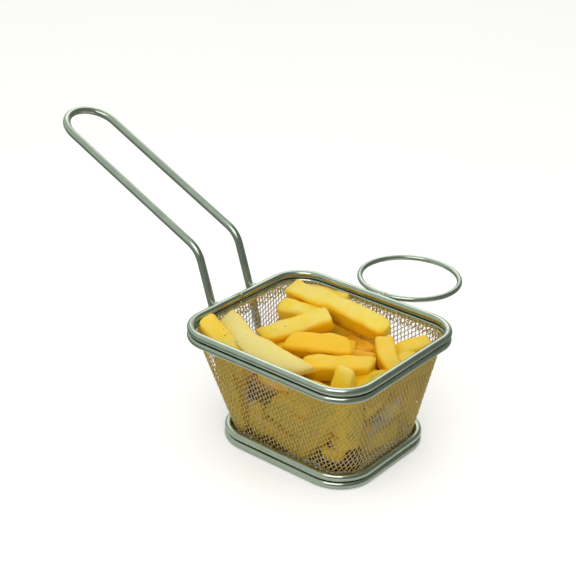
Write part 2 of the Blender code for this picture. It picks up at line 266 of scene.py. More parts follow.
def mix_colour(tree, share, first, second, blend="MIX"):
    """Mixes two colours; each is a colour or a socket, and so is the share."""
    made = tree.nodes.new("ShaderNodeMix")
    made.data_type = "RGBA"
    made.blend_type = blend
    sockets = (made.inputs[0], made.inputs[6], made.inputs[7])
    for socket, value in zip(sockets, (share, first, second)):
        if isinstance(value, bpy.types.NodeSocket):
            tree.links.new(value, socket)
        elif isinstance(value, tuple):
            socket.default_value = (*value, 1)
        else:
            socket.default_value = value
    return made.outputs[2]


def noise_of(tree, scale, detail=3.0, roughness=0.55, vector=None):
    """A noise texture's value; scale is how many features fit in a metre."""
    made = tree.nodes.new("ShaderNodeTexNoise")
    made.inputs["Scale"].default_value = scale
    made.inputs["Detail"].default_value = detail
    made.inputs["Roughness"].default_value = roughness
    if vector is None:
        vector = tree.nodes.new("ShaderNodeTexCoord").outputs["Object"]
    tree.links.new(vector, made.inputs["Vector"])
    return made.outputs["Fac"]


def bump(tree, shader, height, strength, distance):
    """Feeds height into the shader's normal."""
    made = tree.nodes.new("ShaderNodeBump")
    made.inputs["Strength"].default_value = strength
    made.inputs["Distance"].default_value = distance
    tree.links.new(height, made.inputs["Height"])
    tree.links.new(made.outputs["Normal"], shader.inputs["Normal"])


def drawn_wire_group():
    """Marks of a wire pulled through a die: long streaks, and handling haze."""
    group = bpy.data.node_groups.new("drawn_wire_marks", "ShaderNodeTree")
    face = group.interface
    face.new_socket("Streaks Per Metre", in_out="INPUT", socket_type="NodeSocketFloat")
    face.new_socket("Haze Per Metre", in_out="INPUT", socket_type="NodeSocketFloat")
    face.new_socket("Streaks", in_out="OUTPUT", socket_type="NodeSocketFloat")
    face.new_socket("Haze", in_out="OUTPUT", socket_type="NodeSocketFloat")
    start = group.nodes.new("NodeGroupInput")
    end = group.nodes.new("NodeGroupOutput")
    run = node(group, "ShaderNodeAttribute", attribute_name="wire_run")
    streaks = group.nodes.new("ShaderNodeTexNoise")
    streaks.inputs["Detail"].default_value = 2.0
    group.links.new(run.outputs["Vector"], streaks.inputs["Vector"])
    group.links.new(start.outputs["Streaks Per Metre"], streaks.inputs["Scale"])
    place = group.nodes.new("ShaderNodeTexCoord")
    haze = group.nodes.new("ShaderNodeTexNoise")
    haze.inputs["Detail"].default_value = 4.0
    group.links.new(place.outputs["Object"], haze.inputs["Vector"])
    group.links.new(start.outputs["Haze Per Metre"], haze.inputs["Scale"])
    group.links.new(streaks.outputs["Fac"], end.inputs["Streaks"])
    group.links.new(haze.outputs["Fac"], end.inputs["Haze"])
    return group


def marks_in(tree, group, streaks_per_metre, haze_per_metre):
    """Places the drawn wire marks in a material."""
    made = tree.nodes.new("ShaderNodeGroup")
    made.node_tree = group
    made.inputs["Streaks Per Metre"].default_value = streaks_per_metre
    made.inputs["Haze Per Metre"].default_value = haze_per_metre
    return made.outputs["Streaks"], made.outputs["Haze"]


def mottle_group():
    """Soft uneven colour of potato: broad patches, small patches and pores."""
    group = bpy.data.node_groups.new("potato_mottle", "ShaderNodeTree")
    face = group.interface
    face.new_socket("Patches Per Metre", in_out="INPUT", socket_type="NodeSocketFloat")
    face.new_socket("Pores Per Metre", in_out="INPUT", socket_type="NodeSocketFloat")
    face.new_socket("Patches", in_out="OUTPUT", socket_type="NodeSocketFloat")
    face.new_socket("Pores", in_out="OUTPUT", socket_type="NodeSocketFloat")
    start = group.nodes.new("NodeGroupInput")
    end = group.nodes.new("NodeGroupOutput")
    place = group.nodes.new("ShaderNodeTexCoord")
    for name in ("Patches", "Pores"):
        made = group.nodes.new("ShaderNodeTexNoise")
        made.inputs["Detail"].default_value = 4.0
        made.inputs["Roughness"].default_value = 0.6
        group.links.new(place.outputs["Object"], made.inputs["Vector"])
        group.links.new(start.outputs[name + " Per Metre"], made.inputs["Scale"])
        group.links.new(made.outputs["Fac"], end.inputs[name])
    return group


def mottle_in(tree, group, patches_per_metre, pores_per_metre):
    """Places the potato mottle in a material."""
    made = tree.nodes.new("ShaderNodeGroup")
    made.node_tree = group
    made.inputs["Patches Per Metre"].default_value = patches_per_metre
    made.inputs["Pores Per Metre"].default_value = pores_per_metre
    return made.outputs["Patches"], made.outputs["Pores"]


# ------------------------------------------------------------------ materials
def polished_wire_material(marks):
    """Stainless wire, bright with fine drawing lines and faint haze, with painted shade where it faces the next
    wire.
    """
    mat, tree, shader = new_material("polished_stainless_wire")
    streaks, haze = marks_in(tree, marks, 2600, 160)
    shader.inputs["Metallic"].default_value = 1.0
    clean = ramp(tree, haze, [(0.3, (0.52, 0.57, 0.50)), (0.7, (0.62, 0.66, 0.58))])
    shaded_side = node(tree, "ShaderNodeAttribute", attribute_name="shaded_side").outputs["Fac"]
    # painted shade: the wire is darkened on the side that faces the next wire, for the shadowed gap between
    # them
    gap_shade = value_range(tree, shaded_side, 0.80, 0.98, 0.0, 0.8)
    tree.links.new(mix_colour(tree, gap_shade, clean, (0.11, 0.12, 0.09)), shader.inputs["Base Color"])
    rough = value_range(tree, haze, 0.3, 0.7, 0.13, 0.21)
    tree.links.new(rough, shader.inputs["Roughness"])
    bump(tree, shader, streaks, 0.12, 0.05 * MM)
    return mat


def weld_material(marks):
    """Weld beads, duller than the wire and tinted straw by the heat."""
    mat, tree, shader = new_material("weld_bead_steel")
    _, haze = marks_in(tree, marks, 2600, 900)
    shader.inputs["Metallic"].default_value = 1.0
    colour = ramp(tree, haze, [
        (0.30, (0.36, 0.34, 0.30)), (0.50, (0.62, 0.60, 0.52)), (0.72, (0.72, 0.76, 0.74))])
    tree.links.new(colour, shader.inputs["Base Color"])
    rough = value_range(tree, haze, 0.3, 0.7, 0.25, 0.45)
    tree.links.new(rough, shader.inputs["Roughness"])
    bump(tree, shader, haze, 0.5, 0.2 * MM)
    return mat


def cloth_wire_material(marks):
    """The thin wires of the cloth, golden where fries are near: partly an oil film, partly painted reflection
    of the fries.
    """
    mat, tree, shader = new_material("woven_stainless_wire")
    streaks, haze = marks_in(tree, marks, 5000, 60)
    bare = ramp(tree, haze, [(0.35, (0.68, 0.75, 0.84)), (0.65, (0.78, 0.84, 0.92))])
    oil_and_reflection = node(tree, "ShaderNodeAttribute", attribute_name="oil_and_reflection").outputs["Fac"]
    # golden where fries are near: oil film and painted reflection of the fries in shade
    colour = mix_colour(tree, oil_and_reflection, bare, (0.59, 0.46, 0.17))
    tree.links.new(value_range(tree, oil_and_reflection, 0.0, 1.0, 1.0, 0.45), shader.inputs["Metallic"])
    tree.links.new(colour, shader.inputs["Base Color"])
    rough = value_range(tree, haze, 0.3, 0.7, 0.26, 0.36)
    tree.links.new(rough, shader.inputs["Roughness"])
    bump(tree, shader, streaks, 0.1, 0.03 * MM)
    return mat


def fry_material(mottle):
    """Fried potato: golden edges and a few brown specks; pale open tops and orange gaps are painted light and
    shade, and the fries by the wall carry painted shade.
    """
    mat, tree, shader = new_material("fried_potato")
    tone = node(tree, "ShaderNodeAttribute", attribute_name="tone").outputs["Fac"]
    edge = node(tree, "ShaderNodeAttribute", attribute_name="edge").outputs["Fac"]
    # painted light and shade: pale where a place is open to the air and faces up, orange deep in the gaps
    painted_light = node(tree, "ShaderNodeAttribute", attribute_name="painted_openness").outputs["Fac"]
    patches, pores = mottle_in(tree, mottle, 90, 900)
    uneven = node(tree, "ShaderNodeMath", operation="MULTIPLY_ADD")
    tree.links.new(patches, uneven.inputs[0])
    uneven.inputs[1].default_value = 0.75
    tree.links.new(value_range(tree, painted_light, 0.0, 1.0, -0.26, 0.50), uneven.inputs[2])
    fried_and_lit = ramp(tree, uneven.outputs[0], [
        (0.10, (0.88, 0.37, 0.006)), (0.32, (0.94, 0.54, 0.008)), (0.54, (0.94, 0.60, 0.012)),
        (0.74, (0.86, 0.64, 0.045)), (0.92, (0.82, 0.70, 0.17))])
    darker = ramp(tree, tone, [(0.85, (0.84, 0.50, 0.004)), (1.0, (0.76, 0.36, 0.006))])
    toned = mix_colour(tree, value_range(tree, tone, 0.0, 1.0, 0.0, 1.0), fried_and_lit, darker)
    # painted shade: fries against the cloth below the rim are darkened
    wall_shaded = node(tree, "ShaderNodeAttribute", attribute_name="wall_shade").outputs["Fac"]
    pale = value_range(tree, tone, -1.0, 0.0, 1.0, 0.0)
    toned = mix_colour(tree, pale, toned, (0.80, 0.71, 0.33))
    toned = mix_colour(tree, wall_shaded, toned, (0.40, 0.33, 0.045))
    golden = value_range(tree, edge, 0.35, 1.0, 0.0, 0.40)
    crisp = mix_colour(tree, golden, toned, (0.86, 0.50, 0.02))
    speck = noise_of(tree, 420, 1.0)
    few = noise_of(tree, 60, 1.0)
    both = node(tree, "ShaderNodeMath", operation="MULTIPLY")
    tree.links.new(speck, both.inputs[0])
    tree.links.new(few, both.inputs[1])
    mask = value_range(tree, both.outputs[0], 0.46, 0.51, 0.0, 0.8)
    colour = mix_colour(tree, mask, crisp, (0.22, 0.07, 0.015))
    tree.links.new(colour, shader.inputs["Base Color"])
    rough = value_range(tree, patches, 0.3, 0.7, 0.33, 0.5)
    tree.links.new(rough, shader.inputs["Roughness"])
    shader.inputs["Subsurface Weight"].default_value = 0.4
    shader.inputs["Subsurface Radius"].default_value = (1.0, 0.45, 0.08)
    shader.inputs["Subsurface Scale"].default_value = 2.5 * MM
    shader.inputs["Specular IOR Level"].default_value = 0.25
    shader.inputs["Coat Weight"].default_value = 0.05
    shader.inputs["Coat Roughness"].default_value = 0.25
    bump(tree, shader, pores, 0.5, 0.45 * MM)
    return mat


def core_material(mottle):
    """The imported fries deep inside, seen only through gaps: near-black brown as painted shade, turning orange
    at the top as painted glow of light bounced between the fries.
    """
    mat, tree, shader = new_material("potato_core_painted_shade")
    patches, pores = mottle_in(tree, mottle, 120, 700)
    # painted shade: the core is near-black brown so the gaps between the fries read as shadow
    deep = ramp(tree, patches, [
        (0.32, (0.05, 0.014, 0.006)), (0.50, (0.09, 0.026, 0.008)), (0.70, (0.16, 0.05, 0.012))])
    place = node(tree, "ShaderNodeSeparateXYZ")
    tree.links.new(tree.nodes.new("ShaderNodeTexCoord").outputs["Object"], place.inputs[0])
    # painted light: orange at the core's top, for light bounced between the fries
    top = value_range(tree, place.outputs["Z"], CORE_TOP_Z - 4 * MM, CORE_TOP_Z, 0.0, 1.0)
    tree.links.new(mix_colour(tree, top, deep, (0.80, 0.30, 0.015)), shader.inputs["Base Color"])
    shader.inputs["Roughness"].default_value = 0.6
    bump(tree, shader, pores, 0.5, 0.6 * MM)
    return mat


def floor_material():
    """A matt pale studio floor, greyer where the steel mirrors it."""
    mat, tree, shader = new_material("studio_floor")
    shade = ramp(tree, noise_of(tree, 3.0), [(0.3, (0.90, 0.90, 0.895)), (0.7, (0.92, 0.92, 0.915))])
    away = node(tree, "ShaderNodeVectorMath", operation="DISTANCE")
    away.inputs[1].default_value = BASKET
    tree.links.new(tree.nodes.new("ShaderNodeTexCoord").outputs["Object"], away.inputs[0])
    far = value_range(tree, away.outputs["Value"], 85 * MM, 135 * MM, 0.0, 1.0)
    mirrored = tree.nodes.new("ShaderNodeLightPath").outputs["Is Glossy Ray"]
    dimmed = mix_colour(tree, far, (0.72, 0.75, 0.68), (0.20, 0.23, 0.20))
    shade = mix_colour(tree, mirrored, shade, dimmed)
    tree.links.new(shade, shader.inputs["Base Color"])
    seen = tree.nodes.new("ShaderNodeLightPath").outputs["Is Camera Ray"]
    tree.links.new(mix_colour(tree, seen, (0, 0, 0), (0.24, 0.24, 0.24)), shader.inputs["Emission Color"])
    shader.inputs["Emission Strength"].default_value = 1.0
    shader.inputs["Roughness"].default_value = 0.8
    return mat


# --------------------------------------------------------------- mesh helpers
def new_piece(name, vertices, faces, mat, stands_for=(), values=None):
    """A smooth mesh object in the basket's place, riding on the one body."""
    mesh = bpy.data.meshes.new(name)
    mesh.from_pydata([tuple(v) for v in vertices], [], faces)
    for key, numbers in (values or {}).items():
        numbers = np.asarray(numbers, np.float32)
        kind, field = ("FLOAT_VECTOR", "vector") if numbers.ndim == 2 else ("FLOAT", "value")
        layer = mesh.attributes.new(key, kind, "POINT")
        layer.data.foreach_set(field, numbers.ravel())
    mesh.materials.append(mat)
    mesh.shade_smooth()
    mesh.update()
    piece = bpy.data.objects.new(name, mesh)
    piece.location = BASKET
    bpy.context.scene.collection.objects.link(piece)
    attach(piece, "root")
    if stands_for:
        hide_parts(*stands_for)
    return piece


class Tubes:
    """Round wires gathered into one mesh, with how far each point is along."""

    def __init__(self, sides):
        self.sides = sides
        self.vertices = []
        self.faces = []
        self.runs = []
        self.marks = {}

    def add(self, path, normals, radius, closed=False, round_ends=False, shaded_side=None, **marks):
        """Adds a wire along path; normals point away from it at each place.

        The shaded side is given as an angle from the normals: the side that faces another
        wire, which painted shade darkens. marks are values that change along the wire.
        """
        path = np.asarray(path, float)
        if round_ends:
            path, normals, radii = self.rounded(path, normals, radius)
        else:
            radii = np.full(len(path), radius)
        ahead = np.roll(path, -1, 0) - np.roll(path, 1, 0)
        if not closed:
            ahead[0] = path[1] - path[0]
            ahead[-1] = path[-1] - path[-2]
        ahead /= np.linalg.norm(ahead, axis=1)[:, None]
        normals = np.asarray(normals, float)
        normals = normals - ahead * (normals * ahead).sum(1)[:, None]
        normals /= np.linalg.norm(normals, axis=1)[:, None]
        across = np.cross(ahead, normals)
        angle = 2 * np.pi * np.arange(self.sides) / self.sides
        spokes = (normals[:, None] * np.cos(angle)[None, :, None]
                  + across[:, None] * np.sin(angle)[None, :, None])
        rings = path[:, None] + spokes * radii[:, None, None]
        steps = np.linalg.norm(np.diff(path, axis=0), axis=1)
        along = np.concatenate([[0], np.cumsum(steps)])
        first = sum(len(part) for part in self.vertices)
        self.vertices.append(rings.reshape(-1, 3))
        stretched = np.zeros((len(path), self.sides, 3))
        stretched[..., 0] = (along / STREAK_STRETCH)[:, None]
        stretched[..., 1] = np.cos(angle)[None] * radius
        stretched[..., 2] = np.sin(angle)[None] * radius
        self.runs.append(stretched.reshape(-1, 3))
        for key, numbers in marks.items():
            self.marks.setdefault(key, []).append(np.repeat(numbers, self.sides))
        # painted shade: marks how squarely each point faces the next wire
        if shaded_side is not None:
            facing = np.maximum(0, np.cos(angle - shaded_side))
            self.marks.setdefault("shaded_side", []).append(np.tile(facing, len(path)))
        count = len(path)
        ring = np.arange(count if closed else count - 1)
        side = np.arange(self.sides)
        next_ring = (ring + 1) % count
        next_side = (side + 1) % self.sides
        quads = np.stack([
            ring[:, None] * self.sides + side[None],
            ring[:, None] * self.sides + next_side[None],
            next_ring[:, None] * self.sides + next_side[None],
            next_ring[:, None] * self.sides + side[None]], -1).reshape(-1, 4) + first
        self.faces.extend(quads.tolist())
        if not closed:
            self.faces.append([first + k for k in reversed(range(self.sides))])
            last = first + (count - 1) * self.sides
            self.faces.append([last + k for k in range(self.sides)])

    @staticmethod
    def rounded(path, normals, radius):
        """The path with short steps added at its ends, where the cut edges are eased."""
        ease = 0.35 * radius
        first = (path[1] - path[0]) / np.linalg.norm(path[1] - path[0])
        last = (path[-1] - path[-2]) / np.linalg.norm(path[-1] - path[-2])
        steps = [(0, 1 - 0.35), (0.3, 1 - 0.1), (1, 1)]
        opening = [path[0] + first * ease * step for step, _ in steps]
        closing = [path[-1] - last * ease * step for step, _ in reversed(steps)]
        path_out = np.concatenate([opening, path[1:-1], closing])
        sizes = [size for _, size in steps]
        radii = np.concatenate([sizes, np.ones(len(path) - 2), sizes[::-1]]) * radius
        normals = np.asarray(normals, float)
        normals_out = np.concatenate([[normals[0]] * 3, normals[1:-1], [normals[-1]] * 3])
        return path_out, normals_out, radii

    def piece(self, name, mat, slot, stands_for=()):
        """Makes the object."""
        vertices = np.concatenate(self.vertices)
        values = {key: np.concatenate(numbers) for key, numbers in self.marks.items()}
        values["wire_run"] = np.concatenate(self.runs)
        return new_piece(name, vertices, self.faces, mat, stands_for, values)


STREAK_STRETCH = 40                     # how much longer than wide the drawing lines are


def rounded_path(corners, radii, arc_step, straight_step):
    """An open path through corners, each turned with its own radius."""
    points = [corners[0]]

    def run_to(point):
        start = points[-1]
        count = max(1, round((point - start).length / straight_step))
        for step in range(1, count + 1):
            points.append(start.lerp(point, step / count))

    for index in range(1, len(corners) - 1):
        corner = corners[index]
        towards = (corners[index - 1] - corner).normalized()
        onwards = (corners[index + 1] - corner).normalized()
        turn = math.pi - towards.angle(onwards)
        trim = radii[index] * math.tan(turn / 2)
        centre = corner + (towards + onwards).normalized() * (radii[index] / math.cos(turn / 2))
        spoke = corner + towards * trim - centre
        axis = spoke.cross(corner + onwards * trim - centre).normalized()
        if (corner + towards * trim - points[-1]).length > 0.1 * MM:
            run_to(corner + towards * trim)
        steps = max(1, round(turn / arc_step))
        for step in range(1, steps + 1):
            points.append(centre + Matrix.Rotation(turn * step / steps, 3, axis) @ spoke)
    run_to(corners[-1])
    return points


def wavering(points, amount, seed):
    """The slight unevenness of a wire bent by hand and machine."""
    moved = []
    for point in points:
        place = Vector(point) * 18 + Vector((seed, 0, 0))
        moved.append(Vector(point) + noise.noise_vector(place) * amount)
    return moved


# --------------------------------------------------------------- steel frames
FRAME_ARC = math.radians(5)
FRAME_STEP = 5 * MM
WAVER = 0.12 * MM
BUTT_GAP = 0.25 * MM                    # left where a wire's two ends meet


def frame_corners(half, corner, z, shift):
    """A rounded rectangle as an open path that starts and ends on the handle side."""
    x, y = half.x, half.y
    flat = [(-x, 0), (-x, -y), (x, -y), (x, y), (-x, y), (-x, 0)]
    corners = [Vector((u + shift.x, v + shift.y, z)) for u, v in flat]
    corners[0].y -= BUTT_GAP / 2
    corners[-1].y += BUTT_GAP / 2
    return rounded_path(corners, [corner] * len(corners), FRAME_ARC, FRAME_STEP)


def make_frame(name, cad_node, half, corner, z, radius, mat, shaded_side, seed, shift=Vector((0, 0))):
    """One wire loop of the frame, its ends butted together."""
    path = frame_corners(half, corner, z, shift)
    inner = path[1:-1]
    path = [path[0]] + wavering(inner, WAVER, seed) + [path[-1]]
    tubes = Tubes(24)
    tubes.add(path, [(0, 0, 1)] * len(path), radius, round_ends=True, shaded_side=shaded_side)
    return tubes.piece(name, mat, "stainless_wire", (cad_node,))


def handle_path():
    """Up one leg, back along the arm, round the loop and down the other leg."""
    foot_x = BASE_SHIFT.x - BASE_HALF.x - BASE_WIRE - WELD_GAP - HANDLE_WIRE
    hem_x = -HEM_HALF.x - (HEM_WIRE + WELD_GAP + HANDLE_WIRE) / math.cos(HANDLE_LEAN)
    arm = Vector((-math.cos(HANDLE_RISE), math.sin(HANDLE_RISE)))
    end = HANDLE_KNEE + arm * HANDLE_ARM
    side_view = [
        (foot_x, HANDLE_FOOT_Z, 0),
        (foot_x, BASE_Z[1] + BASE_WIRE, HANDLE_LEG_ROUND),
        (hem_x, HEM_Z, HANDLE_LEG_ROUND),
        (HANDLE_KNEE.x, HANDLE_KNEE.y, HANDLE_KNEE_ROUND),
        (end.x, end.y, HANDLE_HALF_WIDTH * 0.998),
    ]
    corners = [Vector((x, HANDLE_HALF_WIDTH, z)) for x, z, _ in side_view]
    radii = [radius for _, _, radius in side_view]
    corners += [Vector((corner.x, -corner.y, corner.z)) for corner in reversed(corners)]
    radii += list(reversed(radii))
    return rounded_path(corners, radii, math.radians(4), FRAME_STEP)


def carried_normals(path, first):
    """Normals carried along a path without twisting."""
    normals = [Vector(first)]
    for before, after in zip(path, path[1:]):
        normal = normals[-1]
        ahead = (after - before).normalized()
        normals.append((normal - ahead * normal.dot(ahead)).normalized())
    return normals


def make_handle(mat):
    """The handle, one wire with its two feet on the base."""
    path = wavering(handle_path(), WAVER, 5)
    tubes = Tubes(24)
    tubes.add(path, carried_normals(path, (-1, 0, 0.2)), HANDLE_WIRE, round_ends=True)
    return tubes.piece("handle", mat, "stainless_wire", ("handle_wire",))


def make_ring(mat):
    """The sauce cup's ring, its ends butted beside the rim."""
    path = []
    steps = 96
    gap = BUTT_GAP / RING_HALF.x
    start = math.radians(-84)
    for index in range(steps + 1):
        angle = start + gap / 2 + (2 * math.pi - gap) * index / steps
        spot = Vector((math.cos(angle) * RING_HALF.x, math.sin(angle) * RING_HALF.y, 0))
        path.append(RING_MIDDLE + spot)
    inner = wavering(path[1:-1], WAVER / 2, 9)
    path = [path[0]] + inner + [path[-1]]
    tubes = Tubes(20)
    tubes.add(path, [(0, 0, 1)] * len(path), RING_WIRE, round_ends=True)
    return tubes.piece("sauce_cup_ring", mat, "stainless_wire", ("sauce_ring",))


# ---------------------------------------------------------------------- welds
class Beads:
    """Weld beads: small uneven lumps gathered into one mesh."""

    def __init__(self):
        self.vertices = []
        self.faces = []

    def add(self, place, sizes, along=(0, 0, 1), seed=0):
        """Adds a lump with the given half sizes; the last one lies along."""
        axis = Vector(along).normalized()
        turn = Vector((0, 0, 1)).rotation_difference(axis).to_matrix()
        rows, columns = 9, 14
        first = len(self.vertices)
        self.vertices.append(Vector(place) + turn @ Vector((0, 0, -sizes[2])))
        for row in range(1, rows):
            polar = math.pi * row / rows
            for column in range(columns):
                angle = 2 * math.pi * column / columns
                spoke = Vector((math.sin(polar) * math.cos(angle),
                                math.sin(polar) * math.sin(angle), -math.cos(polar)))
                lump = 1 + 0.22 * noise.noise(spoke * 1.7 + Vector((seed * 3.1, 0, 0)))
                spot = Vector((spoke.x * sizes[0], spoke.y * sizes[1], spoke.z * sizes[2])) * lump
                self.vertices.append(Vector(place) + turn @ spot)
        self.vertices.append(Vector(place) + turn @ Vector((0, 0, sizes[2])))
        last = len(self.vertices) - 1
        for column in range(columns):
            onwards = (column + 1) % columns
            self.faces.append([first, first + 1 + onwards, first + 1 + column])
            for row in range(rows - 2):
                a = first + 1 + row * columns
                b = a + columns
                self.faces.append([a + column, a + onwards, b + onwards, b + column])
            a = last - columns
            self.faces.append([last, a + column, a + onwards])


def make_welds(mat):
    """Every weld that shows: butt joints, handle to frames and ring to rim."""
    beads = Beads()
    seed = 0
    loops = [
        (RIM_HALF, RIM_Z, RIM_WIRE, Vector((0, 0))),
        (HEM_HALF, HEM_Z, HEM_WIRE, Vector((0, 0))),
        (BASE_HALF, BASE_Z[0], BASE_WIRE, BASE_SHIFT),
        (BASE_HALF, BASE_Z[1], BASE_WIRE, BASE_SHIFT),
    ]
    for half, z, radius, shift in loops:
        seed += 1
        place = (shift.x - half.x, shift.y, z)
        beads.add(place, (radius * 0.99, radius * 0.99, 0.9 * MM), (0, 1, 0), seed)
    path = handle_path()
    for side in (1, -1):
        for half, z, radius, shift in loops:
            seed += 1
            near = min(path, key=lambda p: abs(p.z - z) + (1 if p.y * side < 0 or p.x < -0.07 else 0))
            wire_x = shift.x - half.x
            place = ((near.x + wire_x) / 2, near.y, z)
            reach = abs(near.x - wire_x) / 2 - radius * 0.45
            beads.add(place, (reach, 1.7 * MM, 1.0 * MM), (0, 0, 1), seed)
    ring_edge = Vector((RING_MIDDLE.x, RIM_HALF.y + RIM_WIRE, RIM_Z))
    beads.add(ring_edge + Vector((0, 0.3 * MM, 0.5 * MM)), (2.6 * MM, 1.0 * MM, 0.9 * MM), (0, 0, 1), 31)
    start = math.radians(-84)
    butt = RING_MIDDLE + Vector((math.cos(start), math.sin(start), 0)) * RING_HALF.x
    beads.add(butt, (RING_WIRE * 1.08, RING_WIRE * 1.08, 0.9 * MM), (-math.sin(start), math.cos(start), 0), 33)
    return new_piece("weld_beads", beads.vertices, beads.faces, mat)


# ------------------------------------------------------------ shape of the tub
def tub_size(z, inset):
    """Half length, half width, corner radius and shift of the tub at height z."""
    share = np.clip((z - TUB_LOW_Z) / (TUB_TOP_Z - TUB_LOW_Z), 0, 1)
    half_x = TUB_BASE.x + share * (TUB_TOP.x - TUB_BASE.x) - inset
    half_y = TUB_BASE.y + share * (TUB_TOP.y - TUB_BASE.y) - inset
    corner = LOW_CORNER + share * (TOP_CORNER - LOW_CORNER) - inset
    return half_x, half_y, corner, BASE_SHIFT.x * (1 - share), BASE_SHIFT.y * (1 - share)


def stretch_lengths(half_x, half_y, corner):
    """Lengths of side, corner, side, ... anticlockwise from the far end's side."""
    bend = corner * math.pi / 2
    sides = (2 * (half_y - corner), 2 * (half_x - corner))
    return np.array([sides[0], bend, sides[1], bend, sides[0], bend, sides[1], bend])


MIDDLE_SIZE = tub_size((TUB_TOP_Z + TUB_LOW_Z) / 2, CLOTH_HALF)
STRETCHES = stretch_lengths(*MIDDLE_SIZE[:3])
STRETCH_STARTS = np.concatenate([[0], np.cumsum(STRETCHES)[:-1]])
GIRTH = STRETCHES.sum()


def around(s, half_x, half_y, corner):
    """x and y at the distance s round the tub, on a section of the given size."""
    s = np.mod(s, GIRTH)
    stretch = np.searchsorted(STRETCH_STARTS, s, side="right") - 1
    share = (s - STRETCH_STARTS[stretch]) / STRETCHES[stretch]
    quarter = stretch // 2
    bending = stretch % 2 == 1
    side_x = np.array([1, -1, -1, 1])
    side_y = np.array([1, 1, -1, -1])
    before = (quarter - 1) % 4
    blend = np.where(bending, 1, share)
    middle_x = (side_x[before] * (1 - blend) + side_x[quarter] * blend) * (half_x - corner)
    middle_y = (side_y[before] * (1 - blend) + side_y[quarter] * blend) * (half_y - corner)
    angle = np.pi / 2 * (quarter + np.where(bending, share, 0))
    return middle_x + corner * np.cos(angle), middle_y + corner * np.sin(angle)


FLOOR_MIDDLE_Z = TUB_FLOOR_Z + CLOTH_HALF
ARC_LENGTH = FLOOR_ROUND * math.pi / 2
WALL_LEAN = math.cos(math.atan2(TUB_TOP.x - TUB_BASE.x, TUB_TOP_Z - TUB_LOW_Z))
FOLD_Z = TUB_TOP_Z - FOLD_ROUND - CLOTH_HALF
FOLD_START = ARC_LENGTH + (FOLD_Z - FLOOR_MIDDLE_Z - FLOOR_ROUND) / WALL_LEAN
FOLD_END = FOLD_START + math.pi * FOLD_ROUND
CLOTH_END = FOLD_END + FOLD_DEPTH


def cloth_profile(h):
    """Height and inset of the cloth's middle at the distance h up from its floor."""
    turn = np.clip(h / FLOOR_ROUND, 0, np.pi / 2)
    z = FLOOR_MIDDLE_Z + FLOOR_ROUND * (1 - np.cos(turn))
    z = z + np.clip(h - ARC_LENGTH, 0, FOLD_START - ARC_LENGTH) * WALL_LEAN
    inset = CLOTH_HALF + FLOOR_ROUND * (1 - np.sin(turn))
    over = np.clip((h - FOLD_START) / FOLD_ROUND, 0, np.pi)
    z = z + FOLD_ROUND * np.sin(over) - np.clip(h - FOLD_END, 0, None) * WALL_LEAN
    inset = inset + FOLD_ROUND * (1 - np.cos(over))
    return z, inset


def cloth_point(s, h):
    """The cloth's middle surface at the distance s round and h up."""
    z, inset = cloth_profile(h)
    half_x, half_y, corner, shift_x, shift_y = tub_size(z, inset)
    x, y = around(s, half_x, half_y, corner)
    return np.stack([x + shift_x, y + shift_y, z], -1)


def cloth_normal(s, h):
    """The direction out of the cloth."""
    sideways = cloth_point(s + NUDGE, h) - cloth_point(s - NUDGE, h)
    upwards = cloth_point(s, h + NUDGE) - cloth_point(s, h - NUDGE)
    normal = np.cross(sideways, upwards)
    return normal / np.linalg.norm(normal, axis=-1, keepdims=True)


